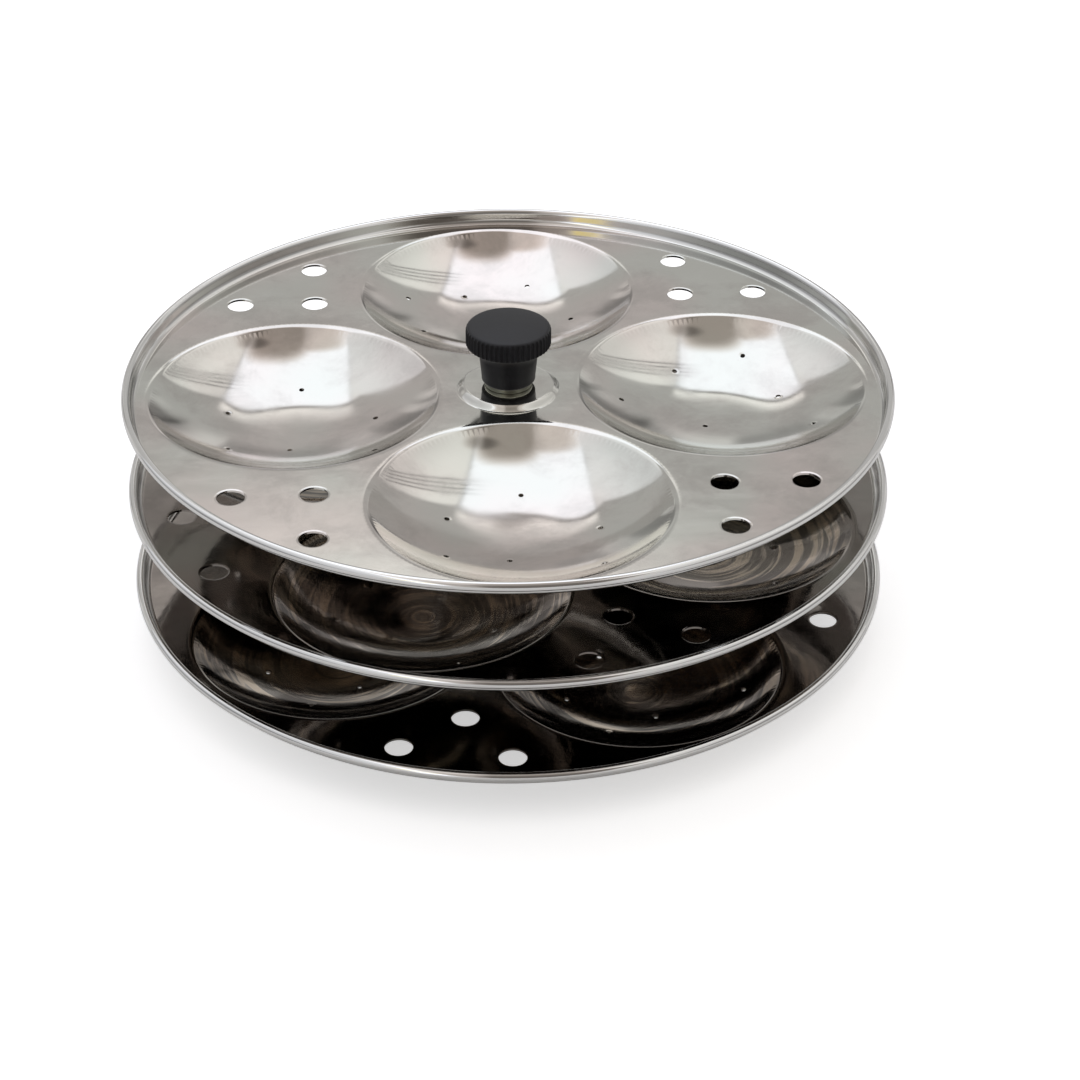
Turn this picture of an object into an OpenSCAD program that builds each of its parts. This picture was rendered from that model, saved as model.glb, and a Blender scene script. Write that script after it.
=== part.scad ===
// Idli stand: three round sheet-steel plates, each with pressed bowls, stacked on one
// central rod with tube spacers between them and clamped from above by a fluted knob.
// The origin lies on the rod's axis, at the level that the lowest bowls rest on.

/* [Bowls] */
// Bowls pressed into each plate
bowl_count = 4; // [4:1:6]
// Width of a bowl's mouth, outside its rounded lip
bowl_d = 73.8; // [60:0.2:80]
// Depth of a bowl below the plate's flat
bowl_depth = 9.5; // [8:0.5:14]
// Width of the flat at the bottom of a bowl
bowl_flat_d = 18; // [8:1:24]
// Radius of the rounded lip round a bowl
bowl_lip_r = 3; // [1.5:0.5:5]
// Narrowest strip of sheet between two neighbouring bowls
bowl_gap = 1.2; // [0.8:0.2:10]
// Strip from a bowl's mouth to the plate's outer edge
bowl_margin = 5.1; // [4:0.1:12]

/* [Sheet and rim] */
// Thickness of the sheet
sheet_t = 0.6; // [0.4:0.1:0.9]
// Height of the rim above the plate's flat
rim_h = 3.8; // [3.2:0.1:6]
// Inner radius of the bend between the flat and the rim
rim_bend_r = 1.4; // [0.8:0.1:2]
// Width of the hollow inside the curled edge
curl_core_d = 1; // [0.6:0.1:1.6]
// Width of the raised boss round the rod, at its foot
boss_d = 24.8; // [20:0.2:30]
// Height of the boss above the flat
boss_h = 1.4; // [0.6:0.1:2]
// Width of the sloping edge of the boss
boss_bevel = 1.2; // [0.6:0.1:2]

/* [Steam and drain holes] */
// Width of a steam hole
steam_d = 6.7; // [4:0.1:9]
// Spacing of the outer pair of steam holes
steam_pair = 27; // [20:0.5:34]
// From the plate's outer edge to the line through the outer pair
steam_edge = 13.4; // [11:0.2:18]
// From that line in to the single steam hole
steam_step = 13.8; // [10:0.2:18]
// Width of a drain hole in a bowl
drain_d = 1.3; // [1:0.1:2.5]

/* [Rod and spacers] */
// Diameter of the rod
rod_d = 8; // [7:0.5:10]
// Width of the shoulder where the rod steps down to its threaded ends
rod_shoulder = 1; // [0.6:0.1:1.2]
// Chamfer at the rod's two ends
rod_chamfer = 0.6; // [0.2:0.1:1]
// Clearance round the rod in a plate or in the collar under the knob
rod_slack = 0.25; // [0.1:0.05:0.4]
// Length of a spacer
spacer_len = 25.4; // [20:0.2:40]
// Wall of a spacer
spacer_wall = 1.5; // [0.8:0.1:2.5]
// Clearance between a spacer and the rod
spacer_slack = 0.5; // [0.2:0.1:1]
// Chamfer at a spacer's ends
spacer_chamfer = 0.3; // [0.1:0.1:0.5]

/* [Foot fasteners] */
// Width of the washer under the lowest plate
washer_d = 16; // [12:0.5:20]
// Thickness of the washer
washer_t = 1.2; // [0.8:0.1:1.6]
// Width across flats of the nut
nut_af = 10; // [9:0.5:13]
// Height of the nut
nut_h = 5; // [3:0.5:5.5]
// Length of thread that shows below the nut
thread_stub = 1.3; // [0.8:0.1:2]
// Clearance of the plain stand-in for a thread in its nut or insert
thread_slack = 0.05; // [0.02:0.01:0.1]

/* [Knob] */
// Wall of the steel collar under the knob
collar_wall = 1.65; // [1:0.05:2.5]
// Height of the collar
collar_h = 1.2; // [1:0.1:4]
// Chamfer at the collar's edges
collar_chamfer = 0.3; // [0.1:0.1:0.5]
// Width of the knob's head
head_d = 21; // [18:0.5:28]
// Height of the head's side
head_side_h = 3.7; // [2.5:0.1:6]
// Radius of the round edge on top of the head
head_edge_r = 1.1; // [0.6:0.1:1.6]
// Rise of the domed top above its edge
head_dome_h = 0.6; // [0.3:0.1:2]
// Flutes round the head
flute_count = 52; // [30:2:60]
// Depth of a flute
flute_depth = 0.35; // [0.2:0.05:0.5]
// Height of the knob's stem
stem_h = 9.9; // [8:0.1:16]
// Width of the stem under the head
stem_top_d = 14.3; // [13:0.1:17]
// Width of the stem at its foot
stem_foot_d = 13.3; // [12.6:0.1:15]
// Chamfer at the stem's foot
stem_chamfer = 0.7; // [0.2:0.1:1]
// Radius of the cove between the stem and the head
stem_cove_r = 4.5; // [2:0.1:5.5]
// Wall of the brass insert round the thread
insert_wall = 1.5; // [1.1:0.1:2]
// Length of the insert
insert_len = 9; // [7:0.5:11]
// Depth of the groove that locks the insert in the moulding
insert_groove = 0.4; // [0.2:0.1:0.7]
// Clearance of the insert in the moulding
insert_slack = 0.05; // [0.03:0.01:0.1]
// From the rod's upper end to the top of the insert
rod_end_gap = 1; // [0.5:0.5:3]
// Clearance below the collar's top, so that the knob clamps before it meets the shoulder
clamp_gap = 0.4; // [0.2:0.1:1]

/* [Plate turns in the photograph] */
// Turn of the top plate about the rod, in degrees
top_turn = 4; // [-180:1:180]
// Turn of the middle plate
middle_turn = -22; // [-180:1:180]
// Turn of the bottom plate
bottom_turn = 37; // [-180:1:180]

/* [Hidden] */

// Drain holes of each bowl, punched by hand and so uneven: how far out each one lies, as a
// share of the bowl's radius, and its angle in the plate's own directions
drain_places = [
    [[0.46, 23], [0.69, 70], [0.58, 116], [0.67, 172], [0.19, 232], [0.66, -27]],
    [[0.53, -8], [0.52, 62], [0.42, 121], [0.67, 160], [0.58, 203], [0.54, 285]],
    [[0.54, 1], [0.46, 85], [0.48, 161], [0.56, 219], [0.32, 264], [0.76, -46]],
    [[0.5, -2], [0.43, 87], [0.49, 162], [0.59, 214], [0.34, 254], [0.72, -48]]
];

steel = "#c3c1bd";
dark_steel = "#8f8f86";
zinc = "#a9abad";
brass = "#b8923f";
phenolic = "#27272b";

smooth = 96;
bowl_steps = 10;
bend_steps = 4;
curl_steps = 14;
dome_steps = 6;
// Angle at which the curled edge ends, just short of the rim's wall
curl_end = -70;
// Turn of the cove from the stem's side to the underside of the head
cove_turn = 55;
// How far a cutting solid runs past the face it opens
past = 1;

// Plates
bowl_r = bowl_d / 2;
bowl_flat_r = bowl_flat_d / 2;
ring_r = (bowl_d + bowl_gap) / (2 * sin(180 / bowl_count));
plate_r = ring_r + bowl_r + bowl_margin;
curl_r = curl_core_d / 2 + sheet_t;
curl_at = [plate_r - curl_r, rim_h - curl_r];
flat_r = plate_r - 2 * curl_r - rim_bend_r;
boss_r = boss_d / 2;
boss_top_r = boss_r - boss_bevel;
// The sheet keeps its thickness on the boss's slope, so its underside steps inwards
boss_inset = sheet_t * tan(atan2(boss_h, boss_bevel) / 2);

// A bowl's wall is one arc from its flat to its lip, tangent to both
wall_run = bowl_r - bowl_flat_r;
wall_angle = 2 * atan2(bowl_depth, wall_run);
wall_r = wall_run / sin(wall_angle) - bowl_lip_r;

// Rod and thread
thread_d = rod_d - 2 * rod_shoulder;
plate_bore_d = rod_d + 2 * rod_slack;
foot_bore_d = thread_d + 2 * rod_slack;
thread_bore_d = thread_d + 2 * thread_slack;
spacer_bore_d = rod_d + 2 * spacer_slack;
spacer_d = spacer_bore_d + 2 * spacer_wall;
collar_d = plate_bore_d + 2 * collar_wall;
insert_d = thread_d + 2 * insert_wall;

// Levels, from the lowest bowls up
pitch = spacer_len + sheet_t;
bottom_z = bowl_depth + sheet_t;
middle_z = bottom_z + pitch;
top_z = middle_z + pitch;
washer_z = bottom_z + boss_h - sheet_t - washer_t;
nut_z = washer_z - nut_h;
rod_foot_z = nut_z - thread_stub;
collar_z = top_z + boss_h;
knob_z = collar_z + collar_h;
rod_top_z = knob_z + insert_len - rod_end_gap;

// Points along an arc round c, from angle a0 to angle a1
function arc(c, r, a0, a1, steps) =
    [for (i = [0 : steps]) let (a = a0 + (a1 - a0) * i / steps) c + r * [cos(a), sin(a)]];

// One face of a bowl, from its flat out to its mouth; side is 0 inside and sheet_t outside
function bowl_face(side) = concat(
    arc([bowl_flat_r, wall_r - bowl_depth], wall_r + side, -90, wall_angle - 90, bowl_steps),
    arc([bowl_r, -bowl_lip_r], bowl_lip_r - side, 90 + wall_angle, 90, bend_steps)
);

// The sheet's section from the axis to the curled edge and back along the underside
function plate_section() = concat(
    [[0, boss_h], [boss_top_r, boss_h], [boss_r, 0]],
    arc([flat_r, rim_bend_r], rim_bend_r, -90, 0, bend_steps),
    arc(curl_at, curl_r, 180, curl_end, curl_steps),
    arc(curl_at, curl_core_d / 2, curl_end, 180, curl_steps),
    arc([flat_r, rim_bend_r], rim_bend_r + sheet_t, 0, -90, bend_steps),
    [[boss_r - boss_inset, -sheet_t], [boss_top_r - boss_inset, boss_h - sheet_t],
     [0, boss_h - sheet_t]]
);

module at_bowls() {
    for (i = [0 : bowl_count - 1])
        rotate(360 / bowl_count * i) translate([ring_r, 0, 0]) children();
}

module bowl_outside() {
    rotate_extrude($fn = smooth)
        polygon(concat([[0, -sheet_t / 2], [0, -bowl_depth - sheet_t]], bowl_face(sheet_t),
                       [[bowl_r, -sheet_t / 2]]));
}

module bowl_inside() {
    rotate_extrude($fn = smooth)
        polygon(concat([[0, past], [0, -bowl_depth]], bowl_face(0), [[bowl_r, past]]));
}

// Three steam holes in a triangle on each diagonal between two bowls
module steam_holes() {
    line_x = plate_r - steam_edge;
    for (i = [0 : bowl_count - 1])
        rotate(360 / bowl_count * (i + 0.5))
            for (p = [[line_x, steam_pair / 2], [line_x, -steam_pair / 2], [line_x - steam_step, 0]])
                translate([p[0], p[1], -sheet_t - past])
                    cylinder(h = sheet_t + 2 * past, d = steam_d, $fn = 48);
}

module drain_holes() {
    for (i = [0 : bowl_count - 1])
        rotate(360 / bowl_count * i)
            translate([ring_r, 0, -bowl_depth - sheet_t - past])
                for (place = drain_places[i % len(drain_places)])
                    rotate(place[1] - 360 / bowl_count * i)
                        translate([place[0] * bowl_r, 0, 0])
                            cylinder(h = bowl_depth + sheet_t + 2 * past, d = drain_d, $fn = 24);
}

// A pressed plate with its flat's upper face at z = 0
module plate(bore_d) {
    difference() {
        union() {
            rotate_extrude($fn = 2 * smooth) polygon(plate_section());
            at_bowls() bowl_outside();
        }
        at_bowls() bowl_inside();
        translate([0, 0, -past]) cylinder(h = boss_h + 2 * past, d = bore_d, $fn = smooth);
        steam_holes();
        drain_holes();
    }
}

// A turned tube with chamfered outer edges, standing on z = 0
module tube(h, outer_d, bore_d, chamfer) {
    r = outer_d / 2;
    rotate_extrude($fn = smooth)
        polygon([[bore_d / 2, 0], [r - chamfer, 0], [r, chamfer],
                 [r, h - chamfer], [r - chamfer, h], [bore_d / 2, h]]);
}

module bottom_plate() {
    color(steel) translate([0, 0, bottom_z]) rotate(bottom_turn) plate(foot_bore_d);
}

module middle_plate() {
    color(steel) translate([0, 0, middle_z]) rotate(middle_turn) plate(plate_bore_d);
}

module top_plate() {
    color(steel) translate([0, 0, top_z]) rotate(top_turn) plate(plate_bore_d);
}

module spacer() {
    tube(spacer_len, spacer_d, spacer_bore_d, spacer_chamfer);
}

module lower_spacer() {
    color(dark_steel) translate([0, 0, bottom_z + boss_h]) spacer();
}

module upper_spacer() {
    color(dark_steel) translate([0, 0, middle_z + boss_h]) spacer();
}

// The rod stands with its lower shoulder on the bottom plate's boss
module tie_rod() {
    thread_r = thread_d / 2;
    color(dark_steel) rotate_extrude($fn = smooth)
        polygon([[0, rod_foot_z], [thread_r - rod_chamfer, rod_foot_z],
                 [thread_r, rod_foot_z + rod_chamfer], [thread_r, bottom_z + boss_h],
                 [rod_d / 2, bottom_z + boss_h], [rod_d / 2, knob_z - clamp_gap],
                 [thread_r, knob_z - clamp_gap], [thread_r, rod_top_z - rod_chamfer],
                 [thread_r - rod_chamfer, rod_top_z], [0, rod_top_z]]);
}

module foot_washer() {
    color(zinc) translate([0, 0, washer_z]) difference() {
        cylinder(h = washer_t, d = washer_d, $fn = smooth);
        translate([0, 0, -past]) cylinder(h = washer_t + 2 * past, d = foot_bore_d, $fn = smooth);
    }
}

// A hexagon nut whose corners are turned off to a cone on its lower side
module foot_nut() {
    corner_d = nut_af / cos(30);
    color(zinc) translate([0, 0, nut_z]) difference() {
        intersection() {
            cylinder(h = nut_h, d = corner_d, $fn = 6);
            rotate_extrude($fn = smooth)
                polygon([[0, 0], [nut_af / 2, 0], [corner_d / 2 + past, (corner_d - nut_af) / 2 + past],
                         [corner_d / 2 + past, nut_h], [0, nut_h]]);
        }
        translate([0, 0, -past]) cylinder(h = nut_h + 2 * past, d = thread_bore_d, $fn = smooth);
    }
}

module knob_collar() {
    color(dark_steel) translate([0, 0, collar_z]) tube(collar_h, collar_d, plate_bore_d, collar_chamfer);
}

// The insert's outline, with a groove at mid-length that the moulding flows into
module insert_form(grow) {
    r = insert_d / 2 + grow;
    groove_r = r - insert_groove;
    rotate_extrude($fn = smooth)
        polygon([[0, -grow], [r, -grow], [r, insert_len / 3 + grow], [groove_r, insert_len / 3 + grow],
                 [groove_r, 2 * insert_len / 3 - grow], [r, 2 * insert_len / 3 - grow],
                 [r, insert_len + grow], [0, insert_len + grow]]);
}

module knob_insert() {
    color(brass) translate([0, 0, knob_z]) difference() {
        insert_form(0);
        translate([0, 0, -past]) cylinder(h = insert_len + 2 * past, d = thread_bore_d, $fn = smooth);
    }
}

// The knob's outline: tapered stem, cove, straight fluted side, round edge and shallow dome
function knob_section() = let (
    head_r = head_d / 2,
    head_top = stem_h + head_side_h,
    dome_r = head_r - head_edge_r,
    dome_angle = 2 * atan2(head_dome_h, dome_r),
    dome_radius = dome_r / sin(dome_angle) + head_edge_r
) concat(
    [[0, 0], [stem_foot_d / 2 - stem_chamfer, 0], [stem_foot_d / 2, 2 * stem_chamfer]],
    arc([stem_top_d / 2 + stem_cove_r, stem_h - stem_cove_r * sin(cove_turn)], stem_cove_r,
        180, 180 - cove_turn, bend_steps),
    [[head_r, stem_h]],
    arc([dome_r, head_top], head_edge_r, 0, 90 - dome_angle, bend_steps),
    arc([0, head_top - dome_r / tan(dome_angle)], dome_radius, 90 - dome_angle, 90, dome_steps)
);

module knob_body() {
    flute_r = 2 * flute_depth;
    color(phenolic) translate([0, 0, knob_z]) difference() {
        rotate_extrude($fn = smooth) polygon(knob_section());
        for (i = [0 : flute_count - 1])
            rotate(360 / flute_count * i)
                translate([head_d / 2 + flute_r - flute_depth, 0, stem_h - past])
                    cylinder(h = head_side_h + head_edge_r + 2 * past, r = flute_r, $fn = 16);
        insert_form(insert_slack);
    }
}

bottom_plate();
middle_plate();
top_plate();
lower_spacer();
upper_spacer();
tie_rod();
foot_washer();
foot_nut();
knob_collar();
knob_insert();
knob_body();
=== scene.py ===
import math

import bpy
import numpy as np
from mathutils import Matrix, Vector
from mathutils.geometry import delaunay_2d_cdt


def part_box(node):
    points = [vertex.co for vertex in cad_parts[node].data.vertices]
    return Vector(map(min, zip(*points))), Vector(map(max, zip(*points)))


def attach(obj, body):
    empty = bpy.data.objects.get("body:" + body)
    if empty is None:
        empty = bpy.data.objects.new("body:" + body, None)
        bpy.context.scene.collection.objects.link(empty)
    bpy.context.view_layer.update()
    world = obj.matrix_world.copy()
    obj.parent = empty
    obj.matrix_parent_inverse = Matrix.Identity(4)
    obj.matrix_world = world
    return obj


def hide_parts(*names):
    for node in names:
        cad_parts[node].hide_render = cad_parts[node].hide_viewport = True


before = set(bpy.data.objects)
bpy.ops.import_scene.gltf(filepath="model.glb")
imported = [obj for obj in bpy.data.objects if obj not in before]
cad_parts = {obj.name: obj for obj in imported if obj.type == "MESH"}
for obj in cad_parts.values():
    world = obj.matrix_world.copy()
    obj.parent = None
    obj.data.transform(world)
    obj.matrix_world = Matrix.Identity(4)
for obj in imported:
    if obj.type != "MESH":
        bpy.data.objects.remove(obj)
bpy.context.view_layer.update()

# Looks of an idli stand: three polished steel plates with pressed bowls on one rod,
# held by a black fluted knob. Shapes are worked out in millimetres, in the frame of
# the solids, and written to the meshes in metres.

MM = 0.001


def level(node, corner):
    """Height of a node's lowest (0) or highest (1) corner, in millimetres."""
    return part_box(node)[corner].z / MM


# Sizes of the pressed plate

SHEET_T = 0.6
BOWLS = 4
BOWL_R = 36.9
BOWL_DEPTH = 9.5
BOWL_FLAT_R = 9.0
BOWL_LIP_R = 3.0
BOWL_GAP = 1.2
BOWL_MARGIN = 5.1
RING_R = (2 * BOWL_R + BOWL_GAP) / (2 * math.sin(math.pi / BOWLS))
PLATE_R = RING_R + BOWL_R + BOWL_MARGIN

# Its bent rim with a curled edge, and its boss
RIM_H = 3.8
RIM_BEND_R = 1.4
CURL_CORE_R = 0.5
CURL_R = CURL_CORE_R + SHEET_T
CURL_END = math.radians(-70)
FLAT_R = PLATE_R - 2 * CURL_R - RIM_BEND_R
BOSS_TOP_R = 11.2
BOSS_FOOT_R = 12.4
BOSS_H = 1.4

# Its holes: a pair of steam holes near the edge and a third a step further in, and drain holes
STEAM_R = 3.35
STEAM_PAIR = 27.0
STEAM_EDGE = 13.4
STEAM_STEP = 13.8
DRAIN_R = 0.65

# Drain holes of each bowl: how far out each lies, as a share of the bowl's radius, and its angle
DRAIN_PLACES = (
    ((0.46, 23), (0.69, 70), (0.58, 116), (0.67, 172), (0.19, 232), (0.66, -27)),
    ((0.53, -8), (0.52, 62), (0.42, 121), (0.67, 160), (0.58, 203), (0.54, 285)),
    ((0.54, 1), (0.46, 85), (0.48, 161), (0.56, 219), (0.32, 264), (0.76, -46)),
    ((0.5, -2), (0.43, 87), (0.49, 162), (0.59, 214), (0.34, 254), (0.72, -48)),
)

# Body of each plate, how far it is turned about the rod in degrees, and its centre hole's radius
PLATES = {
    "bottom_plate": ("base", 37, 3.25),
    "middle_plate": ("middle_tier", -22, 4.25),
    "top_plate": ("top_tier", 4, 4.25),
}


# Meshes

def arc(centre, radius, start, end, steps, inward=False):
    """Points on a circle's arc and the unit normals there, towards the centre if inward."""
    turn = np.linspace(start, end, steps + 1)
    direction = np.stack([np.cos(turn), np.sin(turn)], axis=1)
    return np.asarray(centre) + radius * direction, -direction if inward else direction


def straight(start, end, normal):
    """A straight stretch of a section: its two ends, both with one normal."""
    return np.array([start, end], float), np.array([normal, normal], float)


def write_mesh(name, points, polygons, corner_normals=None, sharp_angle=None):
    """Makes an object from points in millimetres and arrays of polygons by their corners."""
    sizes = np.concatenate([np.full(len(p), p.shape[1]) for p in polygons])
    corners = np.concatenate([p.ravel() for p in polygons])
    mesh = bpy.data.meshes.new(name)
    mesh.vertices.add(len(points))
    mesh.vertices.foreach_set("co", (np.asarray(points) * MM).ravel())
    mesh.loops.add(len(corners))
    mesh.loops.foreach_set("vertex_index", corners.astype(np.int32))
    mesh.polygons.add(len(sizes))
    mesh.polygons.foreach_set("loop_start", (np.cumsum(sizes) - sizes).astype(np.int32))
    mesh.update(calc_edges=True)
    mesh.polygons.foreach_set("use_smooth", np.ones(len(sizes), bool))
    if sharp_angle is not None:
        mesh.set_sharp_from_angle(angle=math.radians(sharp_angle))
    if corner_normals is not None:
        mesh.normals_split_custom_set(corner_normals.tolist())
    piece = bpy.data.objects.new(name, mesh)
    bpy.context.scene.collection.objects.link(piece)
    return piece


def lathe(name, section, segments):
    """Turns a closed section of (radius, height) points about Z. A point on the axis is a pole."""
    section = np.asarray(section, float)
    turn = np.arange(segments) * 2 * math.pi / segments
    points = np.stack([
        section[:, 0, None] * np.cos(turn),
        section[:, 0, None] * np.sin(turn),
        np.repeat(section[:, 1, None], segments, axis=1),
    ], axis=2)
    return grid_piece(name, points, section[:, 0] < 1e-9)


def grid_piece(name, points, poles, sharp_angle=28):
    """Skins rows of points that close on themselves both ways. A row marked as a pole is a point."""
    rows, segments = points.shape[:2]
    index = np.arange(rows * segments).reshape(rows, segments)
    index[poles] = index[poles][:, :1]
    following = np.roll(index, -1, axis=0)
    quads = np.stack([index, following, np.roll(following, -1, 1), np.roll(index, -1, 1)], axis=2)
    # Between two poles lies no face, and beside one pole the faces are triangles
    both = poles & np.roll(poles, -1)
    start_pole = poles & ~both
    end_pole = np.roll(poles, -1) & ~both
    plain = ~(both | start_pole | end_pole)
    polygons = [quads[plain].reshape(-1, 4)]
    if start_pole.any():
        polygons.append(quads[start_pole][:, :, [0, 1, 2]].reshape(-1, 3))
    if end_pole.any():
        polygons.append(quads[end_pole][:, :, [0, 1, 3]].reshape(-1, 3))
    used, flat = np.unique(np.concatenate([p.ravel() for p in polygons]), return_inverse=True)
    split = np.cumsum([p.size for p in polygons])[:-1]
    polygons = [part.reshape(p.shape) for part, p in zip(np.split(flat, split), polygons)]
    return write_mesh(name, points.reshape(-1, 3)[used], polygons, sharp_angle=sharp_angle)


# The pressed plate

def smooth_step(value, start, end):
    """0 before start, 1 after end, and a smooth cubic between."""
    t = np.clip((value - start) / (end - start), 0, 1)
    return t * t * (3 - 2 * t)


def bowl_centres():
    """The bowls' axes, evenly round the rod."""
    turn = np.arange(BOWLS) * 2 * math.pi / BOWLS
    return RING_R * np.stack([np.cos(turn), np.sin(turn)], axis=1)


def steam_centres():
    """Three holes in a triangle on each diagonal between two bowls."""
    line = PLATE_R - STEAM_EDGE
    triangle = np.array([(line, STEAM_PAIR / 2), (line, -STEAM_PAIR / 2), (line - STEAM_STEP, 0)])
    found = []
    for i in range(BOWLS):
        turn = (i + 0.5) * 2 * math.pi / BOWLS
        turning = np.array([[math.cos(turn), math.sin(turn)], [-math.sin(turn), math.cos(turn)]])
        found.append(triangle @ turning)
    return np.concatenate(found)


def drain_centres():
    """The drain holes, placed about their bowls' axes."""
    places = np.array(DRAIN_PLACES)
    reach, turn = BOWL_R * places[:, :, 0], np.radians(places[:, :, 1])
    offsets = np.stack([reach * np.cos(turn), reach * np.sin(turn)], axis=2)
    return (bowl_centres()[:, None] + offsets).reshape(-1, 2)


WALL_RUN = BOWL_R - BOWL_FLAT_R
WALL_ANGLE = 2 * math.atan2(BOWL_DEPTH, WALL_RUN)
WALL_R = WALL_RUN / math.sin(WALL_ANGLE) - BOWL_LIP_R
LIP_START = BOWL_R - BOWL_LIP_R * math.sin(WALL_ANGLE)
ONSET_W = 5.0
DISH = 0.3
DISH_PEAK = 4 / 27


def bowl_height(rho):
    """Height of a bowl's inner face at a distance from its axis: bottom, one arc, then the lip.

    The arc sets in gently, over ONSET_W. Springback lifts the face by DISH where s (1 - s)^2 is at
    its DISH_PEAK, and s is the square of the share of the way out to the lip."""
    past = rho - BOWL_FLAT_R
    early = (np.hypot(past, ONSET_W) - np.abs(past)) / 2
    run = np.clip(past, 0, None) + early * (1 - smooth_step(rho, BOWL_FLAT_R, LIP_START))
    wall = WALL_R - np.sqrt(np.maximum(WALL_R ** 2 - run ** 2, 0))
    share = np.clip(rho / LIP_START, 0, 1) ** 2
    dish = DISH / DISH_PEAK * share * (1 - share) ** 2
    lip_reach = np.clip(BOWL_R - rho, 0, BOWL_LIP_R)
    lip = np.sqrt(BOWL_LIP_R ** 2 - lip_reach ** 2) - BOWL_LIP_R
    return np.where(rho < LIP_START, wall + dish - BOWL_DEPTH, lip)


# The boss's slope is blended this far into its top and out past its foot
BOSS_BLEND_IN = 0.4
BOSS_BLEND_OUT = 0.5

# How far the sheet is drawn down at the edge of a hole, and how wide a ring round it is drawn
EDGE_ROLL = 0.12
EDGE_ROLL_W = 0.5
DIMPLE = 0.03
DIMPLE_W = 0.7


def sheet_height(x, y):
    """Height of the plate's upper face: the boss, the bowls and the drawn-in edges of holes."""
    slope = smooth_step(np.hypot(x, y), BOSS_TOP_R - BOSS_BLEND_IN, BOSS_FOOT_R + BOSS_BLEND_OUT)
    z = BOSS_H * (1 - slope)
    for cx, cy in bowl_centres():
        z = z + bowl_height(np.hypot(x - cx, y - cy))
    for cx, cy in steam_centres():
        gap = np.hypot(x - cx, y - cy) - STEAM_R
        z = z - EDGE_ROLL * np.clip(1 - gap / EDGE_ROLL_W, 0, 1) ** 2
    for cx, cy in drain_centres():
        gap = np.hypot(x - cx, y - cy) - DRAIN_R
        z = z - DIMPLE * np.clip(1 - gap / DIMPLE_W, 0, 1) ** 2
    return z


def sheet_normals(x, y, step=0.004):
    """Unit normals of the upper face, from the height's slopes along x and y."""
    slope_x = (sheet_height(x + step, y) - sheet_height(x - step, y)) / (2 * step)
    slope_y = (sheet_height(x, y + step) - sheet_height(x, y - step)) / (2 * step)
    normal = np.stack([-slope_x, -slope_y, np.ones_like(slope_x)], axis=1)
    return normal / np.linalg.norm(normal, axis=1, keepdims=True)


# How many points go round each edge, and how far apart the rings and rows of points between lie
RIM_SEGMENTS = 480
BORE_SEGMENTS = 96
BOSS_SEGMENTS = 120
BOWL_SEGMENTS = 168
STEAM_SEGMENTS = 56
DRAIN_SEGMENTS = 20
BOSS_RINGS = np.linspace(BOSS_TOP_R - 0.5, BOSS_FOOT_R + 0.6, 13)
BOSS_TOP_RINGS = (6.0, 7.5, 9.0)
LIP_RINGS = np.linspace(LIP_START, BOWL_R, 9)
STEAM_RINGS = (0.12, 0.25, 0.38, 0.52, 1.2)
DRAIN_RINGS = (0.2, 0.45, 0.75, 1.2)
BOWL_STEP = 1.4
BOWL_LEAST = 10
LIP_CLEAR = 0.5
LIP_BAND = 1.5
GRID_STEP = 3.5
GRID_CLEAR = 2.0
STEAM_CLEAR = 2.5
DRAIN_CLEAR = 0.4


def circle_points(centre, radius, count, shift=0.0):
    """Points evenly round a circle, turned on by shift times their spacing."""
    turn = (np.arange(count) + shift) * 2 * math.pi / count
    return np.asarray(centre) + radius * np.stack([np.cos(turn), np.sin(turn)], axis=1)


def nearest(points, centres):
    """Distance from each point to the nearest centre."""
    return np.hypot(*(points[:, None] - centres[None]).transpose(2, 0, 1)).min(axis=1)


def bowl_rings():
    """Rings of points in each bowl, as close as on the lip from LIP_BAND inside it outwards.

    None is close to a drain hole."""
    rounds = np.concatenate([np.arange(BOWL_STEP, LIP_START - LIP_CLEAR, BOWL_STEP), LIP_RINGS])
    rings = []
    for centre in bowl_centres():
        for i, rho in enumerate(rounds):
            spaced = max(BOWL_LEAST, int(round(2 * math.pi * rho / BOWL_STEP)))
            count = BOWL_SEGMENTS if rho > LIP_START - LIP_BAND else spaced
            rings.append(circle_points(centre, rho, count, 0.5 * (i % 2)))
        rings.append(circle_points(centre, BOWL_R + BOWL_GAP / 4, BOWL_SEGMENTS))
    rings = np.concatenate(rings)
    return rings[nearest(rings, drain_centres()) > DRAIN_R + DIMPLE_W + DRAIN_CLEAR]


def flat_grid():
    """Staggered rows of points over the flat, clear of the rim, boss, bowls and steam holes."""
    along = np.arange(-FLAT_R, FLAT_R, GRID_STEP)
    grid = np.stack(np.meshgrid(along, along), axis=-1).reshape(-1, 2)
    grid[:, 0] += GRID_STEP / 2 * (np.round(grid[:, 1] / GRID_STEP) % 2)
    radius = np.hypot(*grid.T)
    free = (radius < FLAT_R - GRID_CLEAR) & (radius > BOSS_FOOT_R + GRID_CLEAR)
    free &= nearest(grid, bowl_centres()) > BOWL_R + GRID_CLEAR
    free &= nearest(grid, steam_centres()) > STEAM_R + STEAM_CLEAR
    return grid[free]


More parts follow.
